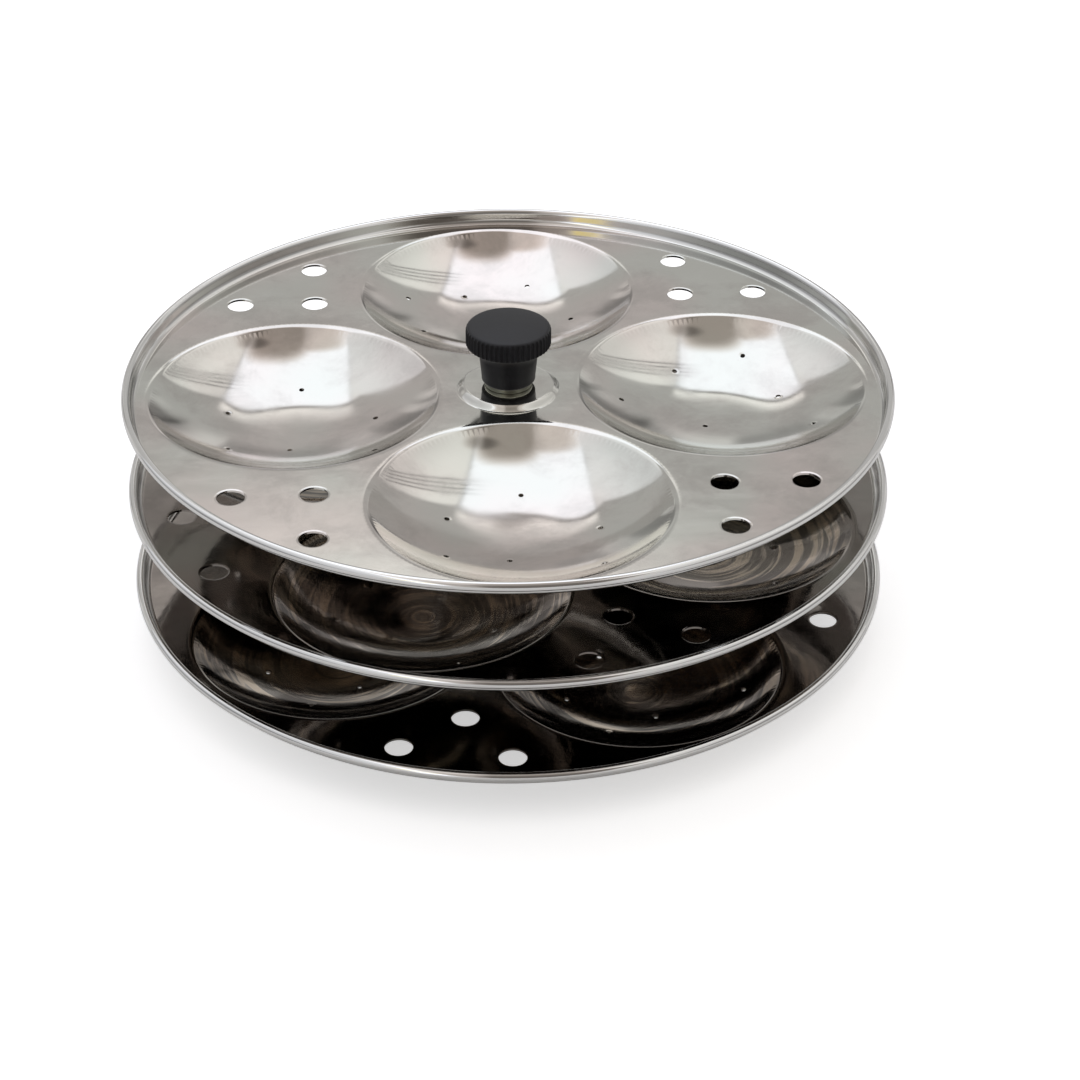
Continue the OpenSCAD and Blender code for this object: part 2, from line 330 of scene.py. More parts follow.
def plate_plan(bore_r):
    """The plate seen from above: loops of points round its edge and holes, and points between."""
    loops = [circle_points((0, 0), FLAT_R, RIM_SEGMENTS)]
    loops.append(circle_points((0, 0), bore_r, BORE_SEGMENTS))
    loops += [circle_points(c, STEAM_R, STEAM_SEGMENTS) for c in steam_centres()]
    loops += [circle_points(c, DRAIN_R, DRAIN_SEGMENTS) for c in drain_centres()]
    fill = [circle_points((0, 0), r, BOSS_SEGMENTS, 0.5 * (i % 2))
            for i, r in enumerate(BOSS_RINGS)]
    fill += [circle_points((0, 0), r, BORE_SEGMENTS, 0.5) for r in BOSS_TOP_RINGS]
    fill += [circle_points(c, STEAM_R + gap, STEAM_SEGMENTS)
             for c in steam_centres() for gap in STEAM_RINGS]
    fill.append(bowl_rings())
    fill += [circle_points(c, DRAIN_R + gap, DRAIN_SEGMENTS, 0.5 * (i % 2))
             for c in drain_centres() for i, gap in enumerate(DRAIN_RINGS)]
    fill.append(flat_grid())
    return loops, np.concatenate(fill)


def rim_section():
    """The bent rim and its curled edge, as stretches that each carry their own normals."""
    wall_r = PLATE_R - 2 * CURL_R
    curl = (PLATE_R - CURL_R, RIM_H - CURL_R)
    bend = (FLAT_R, RIM_BEND_R)
    half, quarter = math.pi, math.pi / 2
    lip = np.array([math.cos(CURL_END), math.sin(CURL_END)])
    return [
        arc(bend, RIM_BEND_R, -quarter, 0, 14, inward=True),
        straight((wall_r, RIM_BEND_R), (wall_r, curl[1]), (-1, 0)),
        arc(curl, CURL_R, half, CURL_END, 40),
        straight(curl + CURL_R * lip, curl + CURL_CORE_R * lip, (lip[1], -lip[0])),
        arc(curl, CURL_CORE_R, CURL_END, half, 20, inward=True),
        straight((wall_r + SHEET_T, curl[1]), (wall_r + SHEET_T, RIM_BEND_R), (1, 0)),
        arc(bend, RIM_BEND_R + SHEET_T, 0, -quarter, 14),
    ]


def join_stretches(stretches):
    """One row of section points without doubles, and the two normals of each step between them."""
    points, starts, ends = [stretches[0][0][0]], [], []
    for stretch, normals in stretches:
        points.extend(stretch[1:])
        starts.extend(normals[:-1])
        ends.extend(normals[1:])
    return np.array(points), np.array(starts), np.array(ends)


def plan_triangles(plan, starts, loops, bore_r):
    """Triangles over the plan, facing up, that follow its loops and leave the holes open."""
    edges = []
    for first, loop in zip(starts, loops):
        at = first + np.arange(len(loop))
        edges.append(np.stack([at, np.roll(at, -1)], axis=1))
    edges = np.concatenate(edges)
    verts, _, faces, _, _, _ = delaunay_2d_cdt(plan.tolist(), edges.tolist(), [], 0, 1e-7)
    if len(verts) != len(plan):
        raise RuntimeError("the plate's plan has points that lie on each other")
    faces = np.array([tuple(face) for face in faces])
    centre = plan[faces].mean(axis=1)
    keep = np.hypot(*centre.T) > bore_r
    keep &= nearest(centre, steam_centres()) > STEAM_R
    keep &= nearest(centre, drain_centres()) > DRAIN_R
    faces = faces[keep]
    a, b, c = plan[faces[:, 0]], plan[faces[:, 1]], plan[faces[:, 2]]
    area = (b[:, 0] - a[:, 0]) * (c[:, 1] - a[:, 1]) - (b[:, 1] - a[:, 1]) * (c[:, 0] - a[:, 0])
    faces[area < 0] = faces[area < 0][:, ::-1]
    return faces


def hole_walls(starts, loops, count):
    """Quads down the wall of each hole and their corners' normals, which face the hole's axis.

    The lower face's points come count places after the upper face's."""
    walls, normals = [], []
    for first, loop in zip(starts, loops):
        at = first + np.arange(len(loop))
        after = np.roll(at, -1)
        walls.append(np.stack([at, after, after + count, at + count], axis=1))
        facing = loop.mean(axis=0) - loop
        facing /= np.linalg.norm(facing, axis=1, keepdims=True)
        facing = np.column_stack([facing, np.zeros(len(loop))])
        following = np.roll(facing, -1, axis=0)
        normals.append(np.stack([facing, following, following, facing], axis=1))
    return np.concatenate(walls), np.concatenate(normals)


def turned_rim(count):
    """The rim's section turned about the rod: its points, its quads and their corners' normals.

    It starts on the upper face's outer loop and ends on the lower face's, count places on."""
    section, step_starts, step_ends = join_stretches(rim_section())
    turn = np.arange(RIM_SEGMENTS) * 2 * math.pi / RIM_SEGMENTS
    out = np.stack([np.cos(turn), np.sin(turn)], axis=1)
    points = np.concatenate([
        np.column_stack([r * out, np.full(RIM_SEGMENTS, z)]) for r, z in section[1:-1]
    ])
    rows = np.concatenate([
        np.arange(RIM_SEGMENTS)[None],
        2 * count + np.arange(len(points)).reshape(-1, RIM_SEGMENTS),
        count + np.arange(RIM_SEGMENTS)[None],
    ])
    inner, outer = rows[:-1], rows[1:]
    strips = np.stack([inner, outer, np.roll(outer, -1, 1), np.roll(inner, -1, 1)], axis=2)

    def swept(normals, shift):
        turned = np.roll(out, -shift, axis=0)
        flat = normals[:, None, :1] * turned[None]
        return np.concatenate([flat, np.repeat(normals[:, None, 1:], RIM_SEGMENTS, axis=1)], axis=2)

    normals = np.stack([
        swept(step_starts, 0), swept(step_ends, 0), swept(step_ends, 1), swept(step_starts, 1)
    ], axis=2)
    return points, strips.reshape(-1, 4), normals


def pressed_plate(name, bore_r, turn_degrees, flat_z):
    """A plate of one closed sheet: its face from a plan and a height, its rim turned about the rod.

    The lower face is the upper one moved inwards along the normals by the sheet's thickness."""
    loops, fill = plate_plan(bore_r)
    plan = np.concatenate([*loops, fill])
    starts = np.cumsum([0] + [len(loop) for loop in loops])
    count = len(plan)
    faces = plan_triangles(plan, starts, loops, bore_r)
    under = faces[:, ::-1]
    face_normals = sheet_normals(*plan.T)
    face_normals[:RIM_SEGMENTS] = (0, 0, 1)
    upper = np.column_stack([plan, sheet_height(*plan.T)])
    lower = upper - SHEET_T * face_normals
    walls, wall_normals = hole_walls(starts[1:], loops[1:], count)
    rim, strips, strip_normals = turned_rim(count)

    points = np.concatenate([upper, lower, rim])
    triangles = np.concatenate([faces, under + count])
    quads = np.concatenate([walls, strips])
    normals = np.concatenate([
        face_normals[faces].reshape(-1, 3),
        -face_normals[under].reshape(-1, 3),
        wall_normals.reshape(-1, 3),
        strip_normals.reshape(-1, 3),
    ])
    turn = math.radians(turn_degrees)
    turning = np.array([
        [math.cos(turn), math.sin(turn), 0], [-math.sin(turn), math.cos(turn), 0], [0, 0, 1]
    ])
    placed = points @ turning + (0, 0, flat_z)
    piece = write_mesh(name, placed, [triangles, quads], normals @ turning)

    # Distance to the nearest bowl's axis, in metres, for the marks that pressing leaves round it
    attribute = piece.data.attributes.new("bowl_distance", "FLOAT", "POINT")
    to_bowl = nearest(points[:, :2], bowl_centres())
    attribute.data.foreach_set("value", (to_bowl * MM).astype(np.float32))
    return piece


# The knob, rod, spacers and fasteners

KNOB_Z = level("knob_body", 0)
HEAD_R = 10.5
HEAD_SIDE_H = 3.7
HEAD_EDGE_R = 1.1
HEAD_FOOT_R = 0.35
HEAD_DOME_H = 0.6
STEM_H = 9.9
STEM_TOP_R = 7.15
STEM_FOOT_R = 6.65
STEM_CHAMFER = 0.7
STEM_COVE_R = 4.5
COVE_TURN = math.radians(55)
FLUTES = 52
FLUTE_DEPTH = 0.35
FLUTE_POINTS = 14
INSERT_R = 4.55
INSERT_H = 9.0


def knob_body():
    """The moulded knob: a section turned about the rod, with scallops cut into its head.

    Each scallop is a cylinder's side, so the radius there is the lesser of the section's and
    the cylinder's. Rows a few tenths of a millimetre from each edge keep its shading crisp."""
    head_top = STEM_H + HEAD_SIDE_H
    dome_r = HEAD_R - HEAD_EDGE_R
    dome_angle = 2 * math.atan2(HEAD_DOME_H, dome_r)
    dome_radius = dome_r / math.sin(dome_angle) + HEAD_EDGE_R
    quarter = math.pi / 2
    cove_low = STEM_H - STEM_COVE_R * math.sin(COVE_TURN)
    cove_out = STEM_TOP_R + STEM_COVE_R * (1 - math.cos(COVE_TURN))
    section = np.concatenate([
        [(INSERT_R, INSERT_H), (INSERT_R, 0.0)],
        np.linspace((INSERT_R + 0.1, 0.0), (STEM_FOOT_R - STEM_CHAMFER, 0.0), 3),
        arc((STEM_FOOT_R - STEM_CHAMFER, STEM_CHAMFER), STEM_CHAMFER, -quarter, 0, 6)[0][1:],
        np.linspace((STEM_FOOT_R, STEM_CHAMFER + 0.5), (STEM_TOP_R, cove_low), 8),
        arc((STEM_TOP_R + STEM_COVE_R, cove_low), STEM_COVE_R,
            2 * quarter, 2 * quarter - COVE_TURN, 12)[0][1:],
        np.linspace((cove_out + 0.2, STEM_H), (HEAD_R - HEAD_FOOT_R - 0.4, STEM_H), 3),
        arc((HEAD_R - HEAD_FOOT_R, STEM_H + HEAD_FOOT_R), HEAD_FOOT_R, -quarter, 0, 5)[0],
        np.linspace((HEAD_R, STEM_H + HEAD_FOOT_R + 0.3), (HEAD_R, head_top - 0.2), 6),
        arc((dome_r, head_top), HEAD_EDGE_R, 0, quarter - dome_angle, 10)[0],
        arc((0, head_top - dome_r / math.tan(dome_angle)), dome_radius,
            quarter - dome_angle, quarter, 14)[0][1:-1],
        [(0.0, head_top + HEAD_EDGE_R + HEAD_DOME_H), (0.0, INSERT_H)],
    ])
    segments = FLUTES * FLUTE_POINTS
    turn = np.arange(segments) * 2 * math.pi / segments
    pitch = 2 * math.pi / FLUTES
    aside = HEAD_R * (np.mod(turn + pitch / 2, pitch) - pitch / 2)
    flute_r = 2 * FLUTE_DEPTH
    reach = np.sqrt(np.clip(flute_r ** 2 - aside ** 2, 0, None))
    allowed = HEAD_R + flute_r - FLUTE_DEPTH - reach
    radius = np.minimum(section[:, 0, None], allowed[None])
    points = np.stack([
        radius * np.cos(turn), radius * np.sin(turn),
        np.repeat(section[:, 1, None] + KNOB_Z, segments, axis=1),
    ], axis=2)
    return grid_piece("knob_moulding", points, section[:, 0] < 1e-9, sharp_angle=40)


BROKEN_EDGE = 0.15
RING_SEGMENTS = 128


def ring_piece(name, bore_r, outer_r, low, high, edge):
    """A turned tube or washer with rounded outer edges and slightly broken inner ones."""
    quarter = math.pi / 2
    broken = min(edge, BROKEN_EDGE)
    section = np.concatenate([
        [(bore_r, high - broken), (bore_r, low + broken), (bore_r + broken, low)],
        arc((outer_r - edge, low + edge), edge, -quarter, 0, 5)[0],
        arc((outer_r - edge, high - edge), edge, 0, quarter, 5)[0],
        [(bore_r + broken, high)],
    ])
    return lathe(name, section, RING_SEGMENTS)


# The thread: its V is made steeper and then lowered, so that its crest and its root are flat
THREAD_R = 3.0
THREAD_PITCH = 1.0
THREAD_DEPTH = 0.55
THREAD_STEEPER = 1.25
THREAD_LOWERED = 0.12
RUN_OUT = 1.2
TIP_CHAMFER = 0.6
ROW_STEP = 0.08


def thread_rows(low, high, segments, fades_at_top):
    """Rows of a screw thread: the radius is a V that climbs one pitch for each turn.

    The thread fades out towards the rod's plain middle and is chamfered at its tip."""
    steps = int((high - low) / ROW_STEP)
    heights = np.linspace(low, high, steps)
    turn = np.arange(segments) * 2 * math.pi / segments
    phase = np.mod((heights[:, None] / THREAD_PITCH) - turn[None] / (2 * math.pi), 1)
    ridge = np.clip(np.abs(2 * phase - 1) * THREAD_STEEPER - THREAD_LOWERED, 0, 1)
    to_top, to_foot = high - heights, heights - low
    to_plain, to_tip = (to_top, to_foot) if fades_at_top else (to_foot, to_top)
    depth = THREAD_DEPTH * np.clip(to_plain / RUN_OUT, 0, 1)[:, None] * (1 - ridge)
    tip = TIP_CHAMFER * (1 - np.clip(to_tip / TIP_CHAMFER, 0, 1))[:, None]
    radius = THREAD_R - np.maximum(depth, tip)
    return np.stack([
        radius * np.cos(turn), radius * np.sin(turn),
        np.repeat(heights[:, None], segments, axis=1),
    ], axis=2)


ROD_R = 4.0
ROD_SEGMENTS = 72
CLAMP_GAP = 0.4
THREAD_GAP = 0.02


def tie_rod():
    """The rod, with a thread turned on each end."""
    low, high = level("tie_rod", 0), level("tie_rod", 1)
    seat = level("lower_spacer", 0)
    shoulder = KNOB_Z - CLAMP_GAP

    def ring(radius, height):
        circle = circle_points((0, 0), radius, ROD_SEGMENTS)
        return np.column_stack([circle, np.full(ROD_SEGMENTS, height)])[None]

    points = np.concatenate([
        ring(0, low),
        thread_rows(low, seat - THREAD_GAP, ROD_SEGMENTS, fades_at_top=True),
        ring(THREAD_R, seat),
        ring(ROD_R - BROKEN_EDGE, seat),
        ring(ROD_R, seat + BROKEN_EDGE),
        ring(ROD_R, shoulder - BROKEN_EDGE),
        ring(ROD_R - BROKEN_EDGE, shoulder),
        ring(THREAD_R, shoulder),
        thread_rows(shoulder + THREAD_GAP, high, ROD_SEGMENTS, fades_at_top=False),
        ring(0, high),
    ])
    poles = np.zeros(len(points), bool)
    poles[[0, -1]] = True
    return grid_piece("rod_with_threads", points, poles, sharp_angle=60)


NUT_AF_R = 5.0
NUT_BORE_R = 3.05
NUT_BORE_CHAMFER = 0.4
NUT_EDGE = 0.1


def foot_nut():
    """A hexagon nut: the radius follows the six flats, and a cone takes the lower corners off."""
    segments = 144
    low, high = level("foot_nut", 0), level("foot_nut", 1)
    turn = np.arange(segments) * 2 * math.pi / segments
    flat_angle = np.mod(turn, math.pi / 3) - math.pi / 6
    hexagon = NUT_AF_R / np.cos(flat_angle)
    cone = hexagon - NUT_AF_R
    rows = []
    for radius, height in (
        (NUT_BORE_R, high),
        (NUT_BORE_R, low + NUT_BORE_CHAMFER),
        (NUT_BORE_R + NUT_BORE_CHAMFER, low),
        (NUT_AF_R - NUT_EDGE / 2, low),
        (hexagon, low + cone + NUT_EDGE / 2),
        (hexagon, high - NUT_EDGE),
        (hexagon - NUT_EDGE, high),
    ):
        radius = radius + np.zeros(segments)
        height = height + np.zeros(segments)
        rows.append(np.stack([radius * np.cos(turn), radius * np.sin(turn), height], axis=1))
    return grid_piece("hexagon_nut", np.array(rows), np.zeros(len(rows), bool), sharp_angle=20)


# Materials

class Wire:
    """A value in a shader. Sums and products of wires add Math nodes."""

    def __init__(self, graph, socket):
        self.graph = graph
        self.socket = socket

    def __add__(self, other):
        return self.graph.math("ADD", self, other)

    def __radd__(self, other):
        return self.graph.math("ADD", other, self)

    def __sub__(self, other):
        return self.graph.math("SUBTRACT", self, other)

    def __rsub__(self, other):
        return self.graph.math("SUBTRACT", other, self)

    def __mul__(self, other):
        return self.graph.math("MULTIPLY", self, other)

    def __rmul__(self, other):
        return self.graph.math("MULTIPLY", other, self)

    def __truediv__(self, other):
        return self.graph.math("DIVIDE", self, other)

    def __pow__(self, other):
        return self.graph.math("POWER", self, other)

    def __neg__(self):
        return self.graph.math("MULTIPLY", self, -1)

    def __abs__(self):
        return self.graph.math("ABSOLUTE", self)

    def ramp(self, low, high):
        """0 below low, 1 above high, smooth between."""
        return self.graph.add("ShaderNodeMapRange", {"interpolation_type": "SMOOTHSTEP"},
                              {"Value": self, "From Min": low, "From Max": high})

    def band(self, rise, fall):
        """0, then 1 past the ramp named by rise, then 0 again past the one named by fall."""
        return self.ramp(*rise) * (1 - self.ramp(*fall))

    def towards(self, other, share):
        """This value where share is 0, the other where it is 1, and a blend between."""
        return self * (1 - share) + other * share


class Graph:
    """The node tree of a material or world."""

    def __init__(self, owner):
        owner.use_nodes = True
        self.tree = owner.node_tree
        self.tree.nodes.clear()

    def add(self, kind, settings=None, values=None, out=0):
        """Adds a node: its settings first, then its sockets' values or links, named or in order."""
        node = self.tree.nodes.new(kind)
        for key, value in (settings or {}).items():
            setattr(node, key, value)
        pairs = values.items() if isinstance(values, dict) else enumerate(values or [])
        for key, value in pairs:
            if isinstance(value, Wire):
                self.tree.links.new(value.socket, node.inputs[key])
            else:
                node.inputs[key].default_value = value
        return Wire(self, node.outputs[out])

    def math(self, operation, *values):
        return self.add("ShaderNodeMath", {"operation": operation}, values)

    def split(self, vector):
        """The X, Y and Z of a vector, as three wires."""
        x = self.add("ShaderNodeSeparateXYZ", None, {"Vector": vector})
        return [Wire(self, x.socket.node.outputs[axis]) for axis in "XYZ"]

    def finish(self, surface, kind="ShaderNodeOutputMaterial"):
        """Ends the tree in an output of this kind."""
        node = self.tree.nodes.new(kind)
        self.tree.links.new(surface.socket, node.inputs["Surface"])

    def place(self, scale=None):
        """Object coordinates in metres, times scale if there is one."""
        coords = self.add("ShaderNodeTexCoord", out="Object")
        if scale is None:
            return coords
        return self.add("ShaderNodeMapping", None, {"Vector": coords, "Scale": scale})

    def noise(self, size, detail=2.0, roughness=0.5, at=None, distortion=0.0):
        """Noise from 0 to 1 whose features are about size millimetres wide."""
        return self.add("ShaderNodeTexNoise", {"noise_dimensions": "3D"}, {
            "Vector": at or self.place(), "Scale": 1 / (size * MM), "Detail": detail,
            "Roughness": roughness, "Distortion": distortion,
        }, out="Fac")

    def mix(self, factor, first, second):
        """Blends two colours. A colour mix has them on its sockets 6 and 7, and answers on its 2."""
        return self.add("ShaderNodeMix", {"data_type": "RGBA"},
                        {"Factor": factor, 6: rgba(first), 7: rgba(second)}, out=2)

    def bump(self, height):
        """Turns a height in metres into a normal."""
        return self.add("ShaderNodeBump", None, {"Height": height, "Distance": 1.0, "Strength": 1.0})


def rgba(colour):
    return colour if isinstance(colour, Wire) else (*colour, 1)


def new_material(name):
    material = bpy.data.materials.new(name)
    return material, Graph(material)


STEEL_COOL = (0.55, 0.555, 0.515)
STEEL_WARM = (0.59, 0.54, 0.51)
STEEL_DULL = (0.42, 0.4, 0.375)
# The rim's lighter steel: a painted highlight
STEEL_RIM_HIGHLIGHT = (0.65, 0.645, 0.63)
# A near-black brown: the painted shade of the plates under the top one
STEEL_SHADE_BROWN = (0.035, 0.022, 0.012)
# A straw colour for the painted reflection streaks in the lower plates' bowls
STEEL_STREAK_HIGHLIGHT = (0.5, 0.385, 0.27)
ROD_STEEL = (0.52, 0.52, 0.5)
COLLAR_STEEL = (0.21, 0.215, 0.175)
ZINC = (0.6, 0.62, 0.64)
BRASS = (0.72, 0.52, 0.22)
PHENOLIC_DARK = (0.004, 0.004, 0.006)
PHENOLIC_PALE = (0.008, 0.0085, 0.011)

# The rings that pressing leaves round a bowl: how far apart they are, how far they wander and how
# high they stand
MARK_PITCH = 2.1
MARK_WANDER = 1.2
MARK_H = 0.0011

# Heights of the sheet's broad and narrow waves
BROAD_WAVE_H = 0.07
NARROW_WAVE_H = 0.006


def polished_sheet(name, shade, wave):
    """Mirror-polished stainless sheet: faint tints, smudges, marks and the waves of pressing.

    Inside its rim the sheet is darkened by shade towards a near-black brown, a painted shade for
    the plates under the top one. Straw swirls drawn out round each bowl's inside lighten that again,
    as painted reflection streaks. The curled rim is the lightest steel, a painted highlight. Its
    waves are wave times as high as on the best."""
    material, g = new_material(name)
    x, y, _ = g.split(g.place())
    rim = ((x * x + y * y) ** 0.5).ramp(FLAT_R * MM, (FLAT_R + RIM_BEND_R) * MM)
    distance = g.add("ShaderNodeAttribute", {"attribute_name": "bowl_distance"}, out="Fac")
    round_bowl = g.add("ShaderNodeCombineXYZ", None, {"X": distance, "Y": 0.07 * x, "Z": 0.07 * y})
    in_bowl = 1 - distance.ramp((BOWL_R - BOWL_LIP_R) * MM, BOWL_R * MM)

    tint = g.mix(g.noise(38, 2.0).ramp(0.35, 0.65), STEEL_COOL, STEEL_WARM)
    smudge = g.noise(20, 6.0, 0.66, distortion=0.3).ramp(0.44, 0.7)
    tint = g.mix(0.6 * smudge, tint, STEEL_DULL)
    # Swirls round each bowl's inside: painted reflection streaks, straw-tinted, that lift the
    # painted shade
    painted_streaks = in_bowl * g.noise(1.9, 3.0, 0.6, round_bowl, 0.6).ramp(0.45, 0.6)
    tint = g.mix((1 - rim) * painted_streaks * shade, tint, STEEL_STREAK_HIGHLIGHT)
    # Painted shade: inside the rim the colour darkens by shade, a little more in the bowls and less
    # on the streaks
    tint = g.mix((1 - rim) * shade * (1.15 + 0.15 * in_bowl - painted_streaks), tint, STEEL_SHADE_BROWN)
    # The rim is left out of the painted shade, and its lighter steel is a painted highlight
    tint = g.mix(rim, tint, STEEL_RIM_HIGHLIGHT)

    smear = g.noise(14, 4.0, 0.6, g.place((1, 2.6, 1)), 0.6)
    wandering = distance + MARK_WANDER * MM * g.noise(9, 2.0)
    rings = g.math("SINE", wandering * (2 * math.pi / (MARK_PITCH * MM)))
    marks = MARK_H * MM * rings * g.noise(26, 1.0).ramp(0.52, 0.68)
    waves = BROAD_WAVE_H * MM * g.noise(28, 1.0) + NARROW_WAVE_H * MM * g.noise(7, 2.0)
    surface = g.add("ShaderNodeBsdfPrincipled", None, {
        "Base Color": tint,
        "Metallic": 1.0,
        "Roughness": 0.07 + 0.08 * smear.ramp(0.35, 0.8),
        "Normal": g.bump(wave * waves + marks),
    })
    g.finish(surface)
    return material


TURNING_H = 0.004


def turned_metal(name, colour, rough):
    """Turned bar or tube: fine rings round the axis and patchy dullness."""
    material, g = new_material(name)
    rings = g.noise(0.25, 2.0, 0.6, g.place((0.05, 0.05, 1)))
    patches = g.noise(4, 3.0)
    shade = g.mix(patches.ramp(0.3, 0.75), colour, tuple(0.8 * c for c in colour))
    surface = g.add("ShaderNodeBsdfPrincipled", None, {
        "Base Color": shade,
        "Metallic": 1.0,
        "Roughness": rough + 0.12 * patches,
        "Normal": g.bump(TURNING_H * MM * rings),
    })
    g.finish(surface)
    return material


GRAIN_H = 0.012
MOTTLE_H = 0.01
# Between these distances the knob's mirror image turns into a painted pale glow of this tone and
# level
NEAR_IMAGE = 28.0
FAR_IMAGE = 34.0
IMAGE_TONE = (1.0, 0.97, 0.95, 1)
IMAGE_LEVEL = 0.5
SECOND_IMAGE_LEVEL = 1.5


def painted_far_reflection(g, surface):
    """A surface that shows a painted pale glow in place of its image, as the mirror gets from
    NEAR_IMAGE to FAR_IMAGE away.

    An image of its image glows paler still. So the bowls show a pale painted reflection, not the
    dark image of the knob."""
    mirrored = g.add("ShaderNodeLightPath", out="Is Glossy Ray")
    travelled = g.add("ShaderNodeLightPath", out="Ray Length")
    bounces = g.add("ShaderNodeLightPath", out="Glossy Depth")
    # Emission that paints a pale reflection where the knob's dark image would be
    pale = g.add("ShaderNodeEmission", None, {"Color": IMAGE_TONE, "Strength": IMAGE_LEVEL})
    paler = g.add("ShaderNodeEmission", None,
                  {"Color": IMAGE_TONE, "Strength": SECOND_IMAGE_LEVEL})
    far = mirrored * travelled.ramp(NEAR_IMAGE * MM, FAR_IMAGE * MM)
    once = g.add("ShaderNodeMixShader", None, [far, surface, pale])
    return g.add("ShaderNodeMixShader", None, [mirrored * bounces.ramp(1.2, 1.8), once, paler])


def black_phenolic():
    """Moulded phenolic: near-black with a faint mottle, satin. Its far mirror image is a painted
    pale glow.
    """
    material, g = new_material("black_phenolic")
    mottle = g.noise(3.5, 4.0, 0.6)
    colour = g.mix(mottle.ramp(0.35, 0.7), PHENOLIC_DARK, PHENOLIC_PALE)
    grain = g.noise(0.35, 2.0, 0.6)
    surface = g.add("ShaderNodeBsdfPrincipled", None, {
        "Base Color": colour,
        "Roughness": 0.36 + 0.14 * mottle,
        "Normal": g.bump(GRAIN_H * MM * grain + MOTTLE_H * MM * mottle),
        "Specular IOR Level": 0.3,
    })
    g.finish(painted_far_reflection(g, surface))
    return material


def dress(piece, material, body, node):
    """Gives a piece its material and slot, and ties it to its body in place of the node."""
    piece.data.materials.append(material)
    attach(piece, body)
    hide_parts(node)


bright_sheet = polished_sheet("polished_sheet", shade=0.0, wave=1.0)
# The plates under the top one carry painted shade, with painted reflection streaks in their bowls
dark_sheet = polished_sheet("darkened_sheet", shade=0.58, wave=6.0)
for node, (body, turned, bore) in PLATES.items():
    sheet_metal = bright_sheet if node == "top_plate" else dark_sheet
    flat_z = level(node, 1) - RIM_H
    pressed = pressed_plate(node.replace("plate", "pressing"), bore, turned, flat_z)
    dress(pressed, sheet_metal, body, node)

rod_metal = turned_metal("rod_steel", ROD_STEEL, 0.2)
collar_metal = turned_metal("collar_steel", COLLAR_STEEL, 0.3)
plating = turned_metal("zinc_plating", ZINC, 0.22)

dress(knob_body(), black_phenolic(), "knob", "knob_body")
dress(tie_rod(), rod_metal, "base", "tie_rod")
dress(foot_nut(), plating, "base", "foot_nut")
# Each turned ring: its node, body, bore radius, outer radius, edge radius, metal and slot
for node, body, bore, outer, edge, metal, slot in (
    ("lower_spacer", "lower_tube", 4.5, 6.0, 0.3, rod_metal, "turned_steel"),
    ("upper_spacer", "upper_tube", 4.5, 6.0, 0.3, rod_metal, "turned_steel"),
    ("knob_collar", "collar", 4.25, 5.9, 0.3, collar_metal, "turned_steel"),
    ("foot_washer", "base", 3.25, 8.0, 0.2, plating, "plated_steel"),
):
    ring = ring_piece(node + "_turned", bore, outer, level(node, 0), level(node, 1), edge)
    dress(ring, metal, body, node)

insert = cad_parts["knob_insert"]
insert.data.materials.clear()
insert.data.materials.append(turned_metal("turned_brass", BRASS, 0.25))


# The eye, in metres: how far it stands from its target, and how far right of that line and below
# it. The target is a point on the rod's line, EYE_TARGET_UP millimetres over the top plate's flat.

EYE_TARGET_UP = 2.7
EYE_TARGET = Vector((0, 0, (level("top_plate", 1) - RIM_H + EYE_TARGET_UP) * MM))
EYE_DISTANCE = 0.6846
EYE_ELEVATION = math.radians(32.34)
EYE_ROLL = math.radians(0.32)
EYE_RIGHT = 0.00779
EYE_DOWN = 0.04001
LENS_MM = 92.3
SENSOR_MM = 36.0


def camera():
    """The photograph's viewing angle: looking down along EYE_ELEVATION at the top plate."""
    data = bpy.data.cameras.new("eye")
    data.lens = LENS_MM
    data.sensor_width = SENSOR_MM
    data.clip_start = 0.01
    eye = bpy.data.objects.new("eye", data)
    bpy.context.scene.collection.objects.link(eye)
    turn = Matrix.Rotation(math.pi / 2 - EYE_ELEVATION, 4, "X") @ Matrix.Rotation(EYE_ROLL, 4, "Z")
    back = turn @ Vector((0, 0, 1))
    right = turn @ Vector((1, 0, 0))
    up = turn @ Vector((0, 1, 0))
    place = EYE_TARGET + EYE_DISTANCE * back + EYE_RIGHT * right - EYE_DOWN * up
    eye.matrix_world = Matrix.Translation(place) @ turn
    bpy.context.scene.camera = eye


# The room that the steel mirrors, by direction only: a white tent with a bright pane overhead, a
# dimmer room beyond the tent's far edge, a dark card over the stand and a small yellow lamp.
# Places are angles from straight up in degrees, across to the right and along away from the
# eye. A pair is where a smooth ramp starts and ends. A level is a strength, where 1 is plain white.

PANE_LEVEL = 1.75
SIDE_LEVEL = 1.3
ROOM_LEVEL = 0.63
CARD_LEVEL = 0.52
LAMP_LEVEL = 1.8

TENT_EDGE = (-1.2, 1.2)
ARCH_TOP = 52.5
ARCH_MIDDLE = -3
ARCH_BEND = 0.035
ARCH_FOOT = 44
ARCH_FOOT_SLOPE = 0.04
PANE_RIGHT = 17.5
PANE_RIGHT_SLOPE = 0.12
PANE_LEFT = 23
PANE_LEFT_SLOPE = 0.15
SEAM_START = (-12, -8)
SLAT_PITCH = 2.8
SLAT_MIDDLE = 14
SLAT_BEND = 0.008
SLATS_ALONG = ((27, 28), (38, 39))
SLATS_ACROSS = ((6, 18), (44, 50))
STRIP_W = 170
LEAST_ASIDE = 0.001
CARD_MIDDLE = 5
CARD_HALF_W = 12
CARD_START = -10
CARD_REACH = 26
CARD_SOFT = (0.3, 1.6)
NEAR_END = (-38, -28)
NEAR_SHIFT = 8
NEAR_WIDER = 14
BACK_HALF_W = 22
BACK_REACH = 18
SPOT_MIDDLE = (16, 1)
SPOT_HALF = (8, 6)
LAMP_ACROSS = ((-40, -36), (-23, -20))
